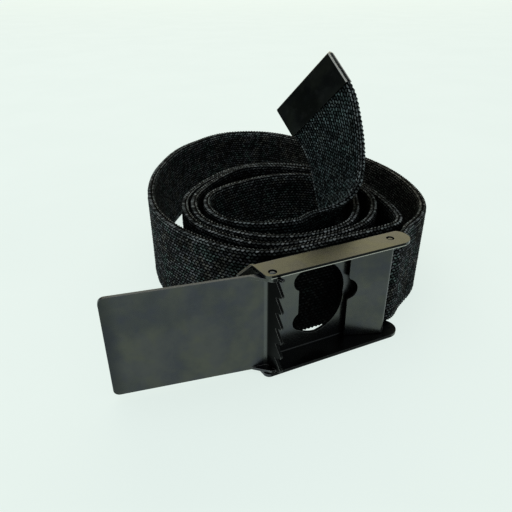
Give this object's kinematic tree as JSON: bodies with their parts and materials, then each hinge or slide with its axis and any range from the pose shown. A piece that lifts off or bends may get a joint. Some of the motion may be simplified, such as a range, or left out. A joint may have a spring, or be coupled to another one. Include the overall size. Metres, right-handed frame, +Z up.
{
  "type": "web belt with clamp buckle",
  "caption": "Coiled web belt standing on its edge, with a flip-top clamp buckle that has a bottle-opener cut-out, lid open, strap clamp shut.",
  "frame": {"origin": "centre of the underside of the buckle frame, on the plane the coiled belt stands on", "axes": "+Z up along the belt's width, +X along the buckle from the lid's hinge to the strap clamp, +Y from the buckle's front into the coil"},
  "size_m": [0.1589, 0.1773, 0.0961],
  "materials": {
    "buckle_steel": "dark gunmetal plating, satin",
    "tip_steel": "dark gunmetal plating, satin",
    "webbing": "charcoal cotton webbing, herringbone weave"
  },
  "bodies": {
    "belt": {"buckle_frame": "buckle_steel", "webbing_fixed_end": "webbing", "webbing_turn_1": "webbing", "webbing_turn_2": "webbing", "webbing_turn_3": "webbing", "webbing_turn_4": "webbing", "webbing_free_end": "webbing", "strap_tip": "tip_steel"},
    "lid": {"buckle_lid": "buckle_steel"},
    "clamp": {"strap_clamp": "buckle_steel"}
  },
  "joints": [
    {"name": "lid_hinge", "type": "hinge", "parent": "belt", "child": "lid", "pos_m": [-0.02615, -0.00278, 0.021], "axis": [0, 0, 1], "range_deg": [-12, 189.4]},
    {"name": "clamp_hinge", "type": "hinge", "parent": "belt", "child": "clamp", "pos_m": [0.02305, 0.00013, 0.021], "axis": [0, 0, -1], "range_deg": [-22, 0]}
  ]
}
